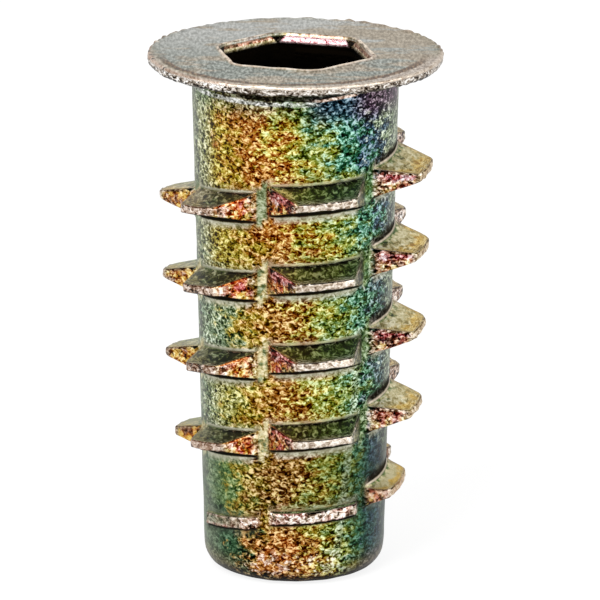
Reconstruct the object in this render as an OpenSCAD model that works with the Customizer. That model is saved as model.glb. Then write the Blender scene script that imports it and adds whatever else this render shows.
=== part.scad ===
// Flanged screw-in threaded insert for wood, cast in one piece.
// The origin is the centre of the tip end, on the axis, and +Z points up to the flange.
// Angles are measured about the axis from the -Y direction towards +X.

/* [Overall] */
// Height from the tip end to the top face of the flange
overall_h = 25.25; // [24:0.05:40]
// Direction of the middle of the front blades, and of one corner of the socket
die_angle = 13.5; // [0:0.5:60]

/* [Flange] */
// Diameter of the flange
flange_d = 14; // [13.8:0.1:20]
// Thickness of the flange
flange_t = 0.5; // [0.4:0.05:1.2]
// Radius of the rounded upper edge of the flange's rim
rim_top_round_r = 0.1; // [0.05:0.05:0.1]
// Radius of the rounded lower edge of the flange's rim
rim_under_round_r = 0.25; // [0.1:0.05:0.25]
// Radius of the fillet between the flange and the barrel
flange_fillet_r = 0.2; // [0.1:0.05:0.4]

/* [Barrel] */
// Diameter of the barrel's cone where it reaches the top face of the flange
barrel_top_d = 9.9; // [9.4:0.1:11]
// Diameter of the barrel's cone at the tip end, before its edge is rounded
barrel_tip_d = 8.6; // [8.2:0.1:9.4]
// Radius of the rounded outer edge at the tip end
tip_round_r = 1; // [0.4:0.05:1.2]

/* [Knife thread] */
// Rise of the knife thread in one turn
knife_pitch = 3.9; // [3.4:0.1:5]
// Number of blades along the thread, six to a turn
blade_count = 28; // [6:1:28]
// Height above the tip end at which the helix of the blades' middles starts
thread_start = 3.1; // [2:0.1:4]
// How far the blades at the back sit below a true helix, and those between sit in proportion
back_drop = 0.16; // [0:0.02:0.4]
// Crest diameter of the blades' cone at the level of the flange's top face
crest_top_d = 13.6; // [12.4:0.1:13.6]
// Crest diameter of the blades' cone at the level of the tip end
crest_tip_d = 11.7; // [11:0.1:12.4]
// Width of the flat land along a blade's crest
crest_land = 0.38; // [0.1:0.02:0.6]
// Angle of the upper flank from the plane across the axis
upper_flank_angle = 13; // [5:1:20]
// Angle of the lower flank from the plane across the axis
lower_flank_angle = 18; // [10:1:24]

/* [Blade ends] */
// Angle at the barrel that a front or back blade fills, where one slide of the die forms it alone
wide_blade_angle = 60; // [40:1:60]
// Angle at the barrel that each of the other blades fills, where one slide forms two side by side
narrow_blade_angle = 50; // [30:1:58]
// Slope of a wide blade as a share of the slope of the helix
wide_slope_share = 0.4; // [0.1:0.1:1]
// Angle at which a blade's end faces lean in towards its middle
end_draft = 22.5; // [5:0.5:30]
// Radius of the rounded corners at the two ends of a crest, seen along the axis
corner_round_r = 0.35; // [0.1:0.05:0.5]

/* [Thread run-out] */
// Height above the tip end at which the crests start to sink towards the tip
sink_start = 8; // [6:0.2:12]
// Angle of the cone that the sinking crests follow
sink_angle = 12.5; // [4:0.5:16]
// Number of lowest blades that are only faint ridges
faint_count = 2; // [0:1:4]
// Height of the tallest faint ridge, and each one below it is half as high
faint_h = 0.25; // [0.1:0.05:0.4]
// Width of the flat land along a faint ridge
faint_land = 0.5; // [0.1:0.05:0.8]
// How far the faint ridges sit below the helix
faint_drop = 0.2; // [0:0.05:0.4]
// Depth that the crest of the topmost blade is sunk
top_blade_sink = 0.4; // [0:0.1:1]

/* [Hex socket] */
// Distance across the flats of the socket
socket_af = 6.4; // [5.6:0.1:6.8]
// Depth of the socket below the top face
socket_depth = 8; // [4:0.5:10]
// Depth of the sloping lead-in at the mouth of the socket
lead_in_h = 0.35; // [0.1:0.05:1]
// Width of the sloping lead-in on each flat
lead_in_w = 0.2; // [0.1:0.05:0.5]
// Width of the sloping lead-in at the corners, where a cone rounds it off
lead_in_corner_w = 0.06; // [0.02:0.02:0.1]

/* [Threaded hole] */
// Diameter of the hole inside the machine thread
hole_d = 5.1; // [4:0.1:5.4]
// Width and depth of the bevel at each end of the hole
hole_bevel = 0.2; // [0.05:0.05:0.3]

/* [Hidden] */

// How far cutting solids run past the faces that they cut
cut_past = 1;
// Sides of the round forms
round_sides = 96;
// Steps of the arcs in the revolved outline
arc_steps = 8;
// Steps of the rounded corners of a blade
corner_steps = 3;
// How far a blade's foot reaches into the barrel
foot_depth = 0.4;

barrel_top_r = barrel_top_d / 2;
barrel_tip_r = barrel_tip_d / 2;
seat_z = overall_h - flange_t;
socket_floor = overall_h - socket_depth;
socket_corner_r = socket_af / 2 / cos(30);
mouth_corner_r = (socket_af / 2 + lead_in_w) / cos(30);
mouth_round_r = socket_corner_r + lead_in_corner_w;
hole_r = hole_d / 2;

// The blades stand every 60 degrees, and the middle one of each three is wide
blades_per_turn = 6;
blade_step = 360 / blades_per_turn;
function is_wide(i) = i % (blades_per_turn / 2) == 1;
function is_faint(i) = i < faint_count;
function blade_angle(i) = is_wide(i) ? wide_blade_angle : narrow_blade_angle;
function blade_turn(i) = blade_step * (i - 1);
function drop(i) = back_drop * (1 - cos(blade_turn(i))) / 2 + (is_faint(i) ? faint_drop : 0);
function blade_z(i) = thread_start + knife_pitch * i / blades_per_turn - drop(i);
function slope_share(i) = is_wide(i) ? wide_slope_share : 1;
function land_width(i) = is_faint(i) ? faint_land : crest_land;

// Radius of the barrel's cone, and of the cone that the crests follow, at a height
function barrel_r(z) = barrel_tip_r + (barrel_top_r - barrel_tip_r) * z / overall_h;
function full_crest_r(z) = (crest_tip_d + (crest_top_d - crest_tip_d) * z / overall_h) / 2;

// The lowest blades are faint, the ones above them sink along a cone, and the topmost is sunk too
function sinking_crest_r(z) = full_crest_r(sink_start) - (sink_start - z) * tan(sink_angle);
function faint_crest_r(i) = barrel_r(blade_z(i)) + faint_h * pow(2, i + 1 - faint_count);
function crest_r(i) =
    is_faint(i) ? faint_crest_r(i) :
    min(full_crest_r(blade_z(i)), sinking_crest_r(blade_z(i)))
        - (i == blade_count - 1 ? top_blade_sink : 0);

// Points of an arc about a centre, from one angle to another
function arc(centre, r, from, to, steps) =
    [for (i = [0:steps])
        let (a = from + (to - from) * i / steps)
        centre + r * [cos(a), sin(a)]];

// Mirror image of a list of points across the X axis, in reverse order
function mirrored(points) = [for (i = [len(points) - 1:-1:0]) [points[i][0], -points[i][1]]];

// Barrel and flange in one revolved outline
module barrel_and_flange() {
    fillet_z = seat_z - flange_fillet_r;
    rim_top = [flange_d / 2 - rim_top_round_r, overall_h - rim_top_round_r];
    rim_under = [flange_d / 2 - rim_under_round_r, seat_z + rim_under_round_r];
    rotate_extrude($fn = round_sides)
        polygon(concat(
            [[0, 0]],
            arc([barrel_tip_r - tip_round_r, tip_round_r], tip_round_r, -90, 0, arc_steps),
            arc([barrel_r(fillet_z) + flange_fillet_r, fillet_z], flange_fillet_r, 180, 90, arc_steps / 2),
            arc(rim_under, rim_under_round_r, -90, 0, arc_steps / 2),
            arc(rim_top, rim_top_round_r, 0, 90, arc_steps / 2),
            [[0, overall_h]]
        ));
}

// Section of a blade: a tapering ridge with a flat crest
module blade_section(foot_r, crest, land) {
    half_land = land / 2;
    polygon([
        [foot_r, -half_land - (crest - foot_r) * tan(lower_flank_angle)],
        [crest, -half_land],
        [crest, half_land],
        [foot_r, half_land + (crest - foot_r) * tan(upper_flank_angle)]
    ]);
}

// Plan of a blade: a wedge whose end faces meet the barrel at the blade's half angle and lean in,
// with its two outer corners rounded into the crest
module blade_plan(r, crest, half_angle) {
    corner_r = min(corner_round_r, (crest - r) / 2);
    foot = r * [cos(half_angle), sin(half_angle)];
    run = [cos(end_draft), -sin(end_draft)];
    out = [sin(end_draft), cos(end_draft)];
    // The corner's centre lies corner_r inside the end face and corner_r inside the crest
    inset = foot - out * corner_r;
    along = inset * run;
    reach = sqrt(pow(crest - corner_r, 2) - inset * inset + along * along) - along;
    centre = inset + run * reach;
    crest_direction = atan2(centre[1], centre[0]);
    corner = arc(centre, corner_r, 90 - end_draft, crest_direction, corner_steps);
    past_crest = (crest + cut_past) * [cos(crest_direction), sin(crest_direction)];
    side = concat([past_crest], [for (i = [corner_steps:-1:0]) corner[i]], [foot - run * foot_depth * 2]);
    polygon(concat(side, mirrored(side)));
}

// One blade, sloped about its middle and trimmed to its plan
module blade(i) {
    z = blade_z(i);
    r = barrel_r(z);
    crest = crest_r(i);
    slope = atan(slope_share(i) * knife_pitch / (PI * (r + crest)));
    half_angle = blade_angle(i) / 2;
    rotate([0, 0, die_angle - 90 + blade_turn(i)])
        translate([0, 0, z])
            intersection() {
                rotate([slope, 0, 0])
                    rotate([0, 0, -blade_step / 2])
                        rotate_extrude(angle = blade_step, $fn = round_sides)
                            blade_section(r - foot_depth, crest, land_width(i));
                translate([0, 0, -knife_pitch / 2])
                    linear_extrude(knife_pitch)
                        blade_plan(r, crest, half_angle);
            }
}

module knife_thread() {
    for (i = [0:blade_count - 1]) blade(i);
}

// Hexagonal socket with a sloping lead-in whose corners are rounded off
module socket() {
    rotate([0, 0, die_angle - 90]) {
        translate([0, 0, socket_floor])
            cylinder(r = socket_corner_r, h = socket_depth + cut_past, $fn = 6);
        translate([0, 0, overall_h - lead_in_h])
            intersection() {
                cylinder(r1 = socket_corner_r, r2 = mouth_corner_r, h = lead_in_h, $fn = 6);
                cylinder(r1 = socket_corner_r, r2 = mouth_round_r, h = lead_in_h, $fn = round_sides);
            }
    }
}

// Round hole from the tip to the socket, bevelled at both ends
module threaded_hole() {
    bevelled_r = hole_r + hole_bevel;
    rotate_extrude($fn = round_sides)
        polygon([
            [0, -cut_past],
            [bevelled_r, -cut_past],
            [bevelled_r, 0],
            [hole_r, hole_bevel],
            [hole_r, socket_floor - hole_bevel],
            [bevelled_r, socket_floor],
            [bevelled_r, socket_floor + cut_past],
            [0, socket_floor + cut_past]
        ]);
}

module threaded_insert() {
    color("darkkhaki")
        difference() {
            union() {
                barrel_and_flange();
                knife_thread();
            }
            socket();
            threaded_hole();
        }
}

threaded_insert();
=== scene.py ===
"""Finish and setting of a flanged screw-in threaded insert, cast in one piece and chromate coated.

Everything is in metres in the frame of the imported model: the origin is the centre of the tip end,
+Z points up the axis to the flange, and angles are measured about the axis from -Y towards +X.
"""

import math

import bpy
import numpy as np
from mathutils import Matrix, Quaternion, Vector


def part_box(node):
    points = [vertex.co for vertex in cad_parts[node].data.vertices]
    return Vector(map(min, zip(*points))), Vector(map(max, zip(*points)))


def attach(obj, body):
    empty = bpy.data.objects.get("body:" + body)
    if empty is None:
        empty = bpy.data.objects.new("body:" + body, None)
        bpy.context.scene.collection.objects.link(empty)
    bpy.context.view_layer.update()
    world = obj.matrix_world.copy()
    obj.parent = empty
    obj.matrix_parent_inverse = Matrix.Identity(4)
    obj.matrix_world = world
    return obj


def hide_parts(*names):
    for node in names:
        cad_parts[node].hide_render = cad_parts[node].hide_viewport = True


bl_info = {
    "name": "Threaded insert",
    "version": (1, 0, 0),
    "blender": (4, 5, 0),
    "location": "View3D > Sidebar > Insert",
    "description": "A cast, chromate-coated screw-in insert with an interrupted knife thread",
    "category": "Object",
}

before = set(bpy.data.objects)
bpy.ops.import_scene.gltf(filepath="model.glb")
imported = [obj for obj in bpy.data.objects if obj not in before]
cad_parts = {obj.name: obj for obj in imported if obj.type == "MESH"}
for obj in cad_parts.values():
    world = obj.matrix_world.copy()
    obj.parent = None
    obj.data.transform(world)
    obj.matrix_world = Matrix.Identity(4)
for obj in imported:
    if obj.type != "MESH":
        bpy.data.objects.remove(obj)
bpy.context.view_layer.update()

NODE = "threaded_insert"
BODY = "root"
MM = 0.001
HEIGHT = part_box(NODE)[1][2]
TOP = HEIGHT / MM
FLANGE_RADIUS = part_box(NODE)[1][0]

BLADES_PER_TURN = 6
BLADE_STEP = 360 / BLADES_PER_TURN

# Angle from one corner of the hex socket to the next, and direction of one of them
SOCKET_STEP = 60
CORNER_ANGLE = 13.5

# Stretches of the path round the wall's section
TIP, THREAD, FLANGE, SOCKET, HOLE, ZONES = range(6)

# Attributes of the casting: where it is worn, the blades' end faces, upper flanks and undersides, the
# painted highlights along the blades' feet, the gaps between blades, the barrel just above a blade
# where painted shade falls, how far a point of a blade lies out from the foot and up from the lower
# edge, the socket's lead-in, and the inside
MASKS = ("worn", "end_face", "upper", "under", "foot", "gap", "hollow", "reach", "tall", "lead_in", "inside")

# How many of them, counted from the first, belong to the blades
BLADE_MASKS = 9


# ---------------------------------------------------------------- sizes, finish and setting


def length(name, description, default, low, high):
    """A size property in metres, from values in millimetres."""
    return bpy.props.FloatProperty(
        name=name, description=description, default=default * MM,
        min=low * MM, max=high * MM, precision=5, unit="LENGTH",
    )


def angle(name, description, default, low, high):
    """An angle property, from values in degrees."""
    return bpy.props.FloatProperty(
        name=name, description=description, default=math.radians(default),
        min=math.radians(low), max=math.radians(high), unit="ROTATION",
    )


def share(name, description, default, low=0.0, high=1.0, unit="NONE"):
    """A number property, which is a share of 1 unless it has other limits or a unit."""
    return bpy.props.FloatProperty(
        name=name, description=description, default=default, min=low, max=high, unit=unit,
    )


def count(name, description, default, low, high):
    """A whole number property."""
    return bpy.props.IntProperty(name=name, description=description, default=default, min=low, max=high)


def colour(name, description, red, green, blue):
    """A colour property, from display values of 0 to 255."""
    return bpy.props.FloatVectorProperty(
        name=name, description=description, default=[display_to_linear(c) for c in (red, green, blue)],
        min=0, max=1, size=3, subtype="COLOR",
    )


def display_to_linear(value):
    """A display value of 0 to 255 as linear light of 0 to 1."""
    part = value / 255
    return part / 12.92 if part <= 0.04045 else ((part + 0.055) / 1.055) ** 2.4


class InsertShape(bpy.types.PropertyGroup):
    """Sizes of the casting."""

    die_angle: angle("Die angle", "Direction of the middle of the front blades", 13.5, 0, 60)
    flange_thickness: length("Flange thickness", "Thickness of the flange", 0.5, 0.4, 1.2)
    rim_top_round: length("Rim top round", "Length cut back at the rim's upper edge", 0.1, 0.05, 0.2)
    rim_under_round: length("Rim under round", "Length cut back at the rim's lower edge", 0.3, 0.1, 0.35)
    flange_fillet: length("Flange fillet", "Length of the fillet under the flange", 0.25, 0.1, 0.4)
    barrel_top: length("Barrel top radius", "Radius of the barrel's cone at the top face", 4.95, 4.7, 5.5)
    barrel_tip: length("Barrel tip radius", "Radius of the barrel's cone at the tip end", 4.3, 4.1, 4.7)
    tip_round: length("Tip round", "Length cut back at the outer edge of the tip end", 1.0, 0.4, 1.2)
    pitch: length("Knife pitch", "Rise of the knife thread in one turn", 3.9, 3.4, 5)
    blades: count("Blades", "Number of blades along the thread", 28, 6, 28)
    thread_start: length("Thread start", "Height at which the helix of the blades starts", 3.1, 2, 4)
    back_drop: length("Back drop", "How far the back blades sit below a true helix", 0.16, 0, 0.4)
    crest_top: length("Crest top radius", "Crest radius of the blades' cone at the top face", 6.8, 6.2, 6.8)
    crest_tip: length("Crest tip radius", "Crest radius of the blades' cone at the tip end", 5.85, 5.5, 6.2)
    crest_land: length("Crest land", "Width of the flat land along a crest", 0.38, 0.1, 0.6)
    upper_flank: angle("Upper flank", "Angle of the upper flank from the plane across the axis", 13, 5, 20)
    lower_flank: angle("Lower flank", "Angle of the lower flank from the plane across the axis", 18, 10, 24)
    wide_blade: angle("Wide blade", "Angle at the barrel that a front or back blade fills", 60, 40, 60)
    narrow_blade: angle("Narrow blade", "Angle at the barrel that each other blade fills", 50, 30, 58)
    wide_slope: share("Wide slope", "Slope of a wide blade as a share of the helix's slope", 0.4)
    end_draft: angle("End draft", "Angle at which a blade's end faces lean in", 22.5, 5, 30)
    corner_round: length("Corner round", "Reach of the rounding at the ends of a crest", 0.3, 0.1, 0.5)
    crest_edge: length("Crest edge", "Length cut back at the edges of a crest", 0.09, 0.02, 0.15)
    root_fillet: length("Root fillet", "Length of the fillet along a blade's foot", 0.2, 0.05, 0.4)
    sink_start: length("Sink start", "Height below which the crests sink towards the tip", 8, 6, 12)
    sink_angle: angle("Sink angle", "Angle of the cone that the sinking crests follow", 12.5, 4, 16)
    faint_blades: count("Faint blades", "Number of lowest blades that are only faint ridges", 2, 0, 4)
    faint_height: length("Faint height", "Height of the tallest faint ridge", 0.25, 0.1, 0.4)
    faint_land: length("Faint land", "Width of the flat land along a faint ridge", 0.5, 0.1, 0.8)
    faint_drop: length("Faint drop", "How far the faint ridges sit below the helix", 0.2, 0, 0.4)
    top_sink: length("Top blade sink", "Depth that the topmost crest is sunk", 0.4, 0, 1)
    socket_flats: length("Socket across flats", "Distance across the flats of the hex socket", 6.4, 5.6, 6.8)
    socket_depth: length("Socket depth", "Depth of the hex socket", 8, 4, 10)
    lead_in_depth: length("Lead-in depth", "Depth of the sloping lead-in of the socket", 0.35, 0.1, 1)
    lead_in_width: length("Lead-in width", "Width of the sloping lead-in on each flat", 0.2, 0.1, 0.5)
    lead_in_corner: length("Lead-in corner", "Width of the sloping lead-in at the corners", 0.06, 0.02, 0.1)
    lip_height: length("Lip height", "Height of the raised lip round the socket's mouth", 0.1, 0, 0.2)
    lip_width: length("Lip width", "Width of the raised lip round the socket's mouth", 0.25, 0.05, 0.5)
    hole_radius: length("Hole radius", "Radius inside the machine thread", 2.55, 2, 2.7)
    groove_radius: length("Groove radius", "Radius at the machine thread's root", 3.15, 2.6, 3.4)
    hole_bevel: length("Hole bevel", "Width and depth of the bevels of the hole", 0.2, 0.05, 0.3)
    machine_pitch: length("Machine pitch", "Rise of the machine thread in one turn", 1.27, 0.8, 2)
    waviness: length("Waviness", "Height of the cast surface's slow waves", 0.012, 0, 0.05)
    raggedness: length("Raggedness", "Height of the roughness along worn edges", 0.03, 0, 0.08)
    burr: length("Burr", "Height of the lumps along the rim's upper edge", 0.045, 0, 0.15)


class InsertFinish(bpy.types.PropertyGroup):
    """Colours of the chromate coat and the metal under it, and of painted light and shade."""

    # Painted reflection of the pale surroundings at the barrel's limbs
    silver: colour("Silver", "Thin coat", 98, 107, 84)
    mint: colour("Mint", "Pale green coat", 134, 152, 116)
    leaf: colour("Leaf", "Yellow-green coat", 140, 148, 52)
    gold: colour("Gold", "Yellow coat", 172, 143, 36)
    copper: colour("Copper", "Orange coat", 164, 98, 30)
    moss: colour("Moss", "Green coat", 92, 118, 54)
    teal: colour("Teal", "Blue-green coat", 46, 104, 76)
    petrol: colour("Petrol", "Blue coat", 38, 64, 82)
    plum: colour("Plum", "Violet coat", 74, 48, 68)
    pine: colour("Pine", "Deep green on the left of the tip", 50, 98, 66)
    olive: colour("Olive", "Dull green on the left of the row above the tip", 108, 142, 80)
    straw: colour("Straw", "Yellow-green on the left of the middle row", 158, 152, 80)
    # Pale is the painted highlight along the blades' feet, and a pale mottling of the end faces
    pale: colour("Pale", "Lines along the blades' feet", 176, 174, 152)
    crest: colour("Crest", "Worn crests and edges", 214, 200, 184)
    umber: colour("Umber", "Dark patches of worn crests and edges", 120, 92, 66)
    rose: colour("Rose", "Pink of the blades' end faces", 196, 104, 96)
    ember: colour("Ember", "Orange of the blades' end faces", 190, 98, 34)
    wine: colour("Wine", "Dark red of the blades' end faces", 118, 34, 54)
    garnet: colour("Garnet", "Dark spots of the blades' end faces", 34, 6, 4)
    # Shade is the painted shade of the front and back blades' upper flanks, and a dark green of the coat
    # elsewhere
    shade: colour("Shade", "Dark green of the front and back blades' upper flanks", 60, 76, 34)
    # On the side blades' upper flanks, khaki and brass are a painted reflection of the pale surroundings
    khaki: colour("Khaki", "Olive of the side blades' upper flanks", 214, 203, 156)
    brass: colour("Brass", "Golden edges of the side blades' upper flanks", 218, 182, 88)
    steel: colour("Steel", "Grey of the flange's front", 144, 150, 141)
    bright: colour("Bright", "Grey of the flange's back", 186, 187, 182)
    sand: colour("Sand", "Beige of the flange", 174, 162, 142)
    blush: colour("Blush", "Pink of the socket's back lead-in", 214, 178, 180)
    # Black of painted shade: in the socket and hole, under the blades and the flange, along creases and at
    # the foot; also dark spots on worn crests
    soot: colour("Soot", "Walls of the socket", 12, 8, 4)
    # Painted highlight on the worn edge of the socket's mouth
    gleam: colour("Gleam", "Bright edge of the socket's mouth", 255, 237, 215)
    grains_per_mm: share("Grains per millimetre", "Fineness of the cast grain", 4.6, 1, 10)
    grain_contrast: share("Grain contrast", "Strength of the light and dark of the grain", 1.7, 0, 3)
    metallic: share("Metallic", "How far the coat shines as metal", 1.0)
    roughness: share("Roughness", "Mean roughness of the coat", 0.42)


class InsertSetting(bpy.types.PropertyGroup):
    """Floor, light and camera."""

    floor_size: length("Floor size", "Width of the square floor", 1200, 200, 3000)
    floor_white: share("Floor white", "How white the floor is", 0.8)
    floor_glow: share("Floor glow", "Brightness of the floor's glow", 1.06, 0, 2)
    glow_share: share("Glow share", "Share of the glow in what the camera and reflections see", 0.8)
    camera_distance: length("Camera distance", "Distance from the camera to the aim point", 344.4, 100, 2000)
    camera_elevation: angle("Camera elevation", "Height angle of the camera", 15.86, -90, 90)
    camera_roll: angle("Camera roll", "Turn of the camera about its own axis", 0.17, -5, 5)
    focal_length: share("Focal length", "Focal length on a 36 mm sensor", 431.7, 20, 2000, unit="CAMERA")
    aim_height: length("Aim height", "Height of the point that the camera aims at", 12.5, 0, 30)
    shift_right: share("Shift right", "Sideways shift, as a share of the view's width", 5.24 / 600)
    shift_up: share("Shift up", "Upward shift, as a share of the view's width", 10.78 / 600)
    key_power: share("Key power", "Power of the key light", 2.0, 0, 50, unit="POWER")
    fill_power: share("Fill power", "Power of the fill light", 0.8, 0, 50, unit="POWER")
    sky: share("Sky", "Strength of the surroundings as light and in reflections", 0.85, 0, 2)


# ---------------------------------------------------------------- surfaces worked out with numpy


def soft_min(a, b, reach):
    """The lower of a and b, lowered by a parabola where they are within reach of each other."""
    near = np.maximum(reach - np.abs(a - b), 0)
    return np.minimum(a, b) - near**2 / (4 * reach)


def soft_max(a, b, reach):
    """The higher of a and b, raised by a parabola where they are within reach of each other."""
    return -soft_min(-a, -b, reach)


def rounded_path(corners, rounds, bend_steps, run_steps):
    """Carries a path through corners and rounds them, on many columns at once.

    corners is an array of (corner, 2, column). Each inner corner is cut back by its round and bridged
    by the parabola start (1-t)^2 + corner 2t(1-t) + end t^2. A side too short for the rounds at its
    two ends is shared between them in proportion. Returns the points as (point, 2, column) and each
    point's place, counted in corners.
    """
    sides = corners[1:] - corners[:-1]
    lengths = np.linalg.norm(sides, axis=1, keepdims=True)
    along = sides / np.maximum(lengths, 1e-12)
    cuts = np.array([0, *rounds, 0])
    most = 0.95 * lengths / (cuts[:-1] + cuts[1:])[:, None, None]
    points, places = [corners[:1]], [np.zeros(1)]
    leave = corners[0]
    for k in range(1, len(corners)):
        last = k == len(corners) - 1
        cut = 0 if last else cuts[k] * np.minimum(1, np.minimum(most[k - 1], most[k]))
        arrive = corners[k] - along[k - 1] * cut
        t = np.linspace(0, 1, run_steps[k - 1] + 1)[1:, None, None]
        points.append(leave * (1 - t) + arrive * t)
        places.append(k - 1 + 0.8 * t.ravel())
        if last:
            break
        leave = corners[k] + along[k] * cut
        t = np.linspace(0, 1, bend_steps[k - 1] + 1)[1:, None, None]
        points.append(arrive * (1 - t) ** 2 + corners[k] * 2 * t * (1 - t) + leave * t**2)
        places.append(k - 0.2 + 0.4 * t.ravel())
    return np.concatenate(points), np.concatenate(places)


def blade_is_wide(i):
    """The middle blade of each three fills its sector."""
    return i % (BLADES_PER_TURN // 2) == 1


def blade_middle(shape, i):
    """Height of a blade's middle: an even rise, less the drop of (1 - cos turn) / 2 at the back."""
    turn = math.radians(BLADE_STEP * (i - 1))
    drop = shape.back_drop * (1 - math.cos(turn)) / 2
    if i < shape.faint_blades:
        drop += shape.faint_drop
    return shape.thread_start + shape.pitch * i / BLADES_PER_TURN - drop


def barrel_radius(shape, z):
    """Radius of the barrel's cone at a height."""
    return shape.barrel_tip + (shape.barrel_top - shape.barrel_tip) * z / HEIGHT


def crest_radius(shape, i):
    """Crest radius of a blade: the crest cone, sunk towards the tip, and faint or sunk at the ends."""
    z = blade_middle(shape, i)
    rise = (shape.crest_top - shape.crest_tip) / HEIGHT
    if i < shape.faint_blades:
        return barrel_radius(shape, z) + shape.faint_height * 2 ** (i + 1 - shape.faint_blades)
    full = shape.crest_tip + rise * z
    start = shape.crest_tip + rise * shape.sink_start
    sunk = start - (shape.sink_start - z) * math.tan(shape.sink_angle)
    return min(full, sunk) - (shape.top_sink if i == shape.blades - 1 else 0)


def blade_corners(shape, i, turn):
    """Section of a blade at each column: lower foot, lower crest edge, upper crest edge, upper foot.

    turn is each column's angle from the blade's middle. The end face is a straight line in plan, at
    the radius foot * sin(half + draft) / sin(turn + draft), and the land lies at the lower of that
    radius and the crest's. The whole section is tilted about the blade's middle.
    """
    middle = blade_middle(shape, i)
    crest = crest_radius(shape, i)
    foot = barrel_radius(shape, middle)
    half = (shape.wide_blade if blade_is_wide(i) else shape.narrow_blade) / 2
    half_land = (shape.faint_land if i < shape.faint_blades else shape.crest_land) / 2
    away = np.abs(turn)
    end_face = foot * np.sin(half + shape.end_draft) / np.sin(away + shape.end_draft)
    corner = min(shape.corner_round, (crest - foot) / 2)
    land = soft_min(np.full_like(turn, crest), end_face, corner)
    proud = soft_max(land - foot, np.zeros_like(turn), 0.06 * MM)
    land = foot + proud
    slope = (shape.wide_slope if blade_is_wide(i) else 1) * shape.pitch / (math.pi * (foot + crest))
    least = 0.05 * MM
    corners = []
    for side, flank in ((-1, shape.lower_flank), (1, shape.upper_flank)):
        edge = middle + side * (half_land + (crest - land) * math.tan(flank))
        root = edge + side * np.maximum(proud * math.tan(flank), least)
        root_z = root + slope * foot * np.sin(turn)
        pair = [(barrel_radius(shape, root_z), root_z), (land, edge + slope * land * np.sin(turn))]
        corners += pair if side < 0 else pair[::-1]
    end = np.clip((crest - land) / (0.25 * MM), 0, 1)
    return np.array(corners), end, proud / (crest - foot), np.clip(proud / (0.15 * MM), 0, 1)


def near(distance, full, none):
    """A mask of 1 within the full distance, falling to 0 at none, from distances in millimetres."""
    return np.clip((none * MM - distance) / ((none - full) * MM), 0, 1)


def segment_distance(points, start, end):
    """Distance of points (point, 2, column) from a line between corners (2, column), and place on it."""
    run = end - start
    place = np.sum((points - start) * run, axis=1) / np.maximum(np.sum(run * run, axis=0), 1e-16)
    place = np.clip(place, 0, 1)
    return np.linalg.norm(points - start - run * place[:, None], axis=1), place


def blade_masks(points, section, end, out, proud, bare):
    """Masks of one blade at points (point, 2, column), as (point, mask, column).

    section holds the corners: lower foot, lower crest edge, upper crest edge, upper foot. end is 1 on
    the end faces, out is the land's share of the way out to the crest, proud is 1 where the blade
    stands up, and bare is 1 between the blades' ends.
    """
    low_foot, low_edge, high_edge, high_foot = section
    z = points[:, 1]
    land, _ = segment_distance(points, low_edge, high_edge)
    flank, reach = segment_distance(points, high_foot, high_edge)
    underside, _ = segment_distance(points, low_edge, low_foot)
    land = near(land, 0.05, 0.1)
    upper = near(flank, 0.03, 0.09) * (1 - land)
    under = near(underside, 0.06, 0.12) * (1 - land)
    to_foot = np.linalg.norm(points - high_foot, axis=1)
    over = np.clip((z - high_foot[1]) / (0.04 * MM), 0, 1)
    above = near(to_foot, 0.13, 0.21) * over
    hollow = near(to_foot, 0.42, 0.62) * over
    height = np.clip((low_edge[0] - low_foot[0]) / (0.5 * MM), 0.4, 1)
    to_low_foot = np.linalg.norm(points - low_foot, axis=1)
    below = near(to_low_foot, 0.19 * height, 0.28 * height) * near(z - low_foot[1], -0.12, -0.07)
    level = near(low_foot[1] - z, 0.05, 0.15) * near(z - high_foot[1], 0.1, 0.2)
    tall = np.clip((z - low_edge[1]) / (high_edge[1] - low_edge[1]), 0, 1)
    face = land * end
    masks = [proud * land * (1 - end), proud * face, proud * upper, proud * under,
             proud * np.maximum(above, below), bare * level, proud * hollow,
             proud * (upper * reach * (1 - face) + face * out), proud * land * tall]
    return np.stack(masks, 1)


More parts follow.
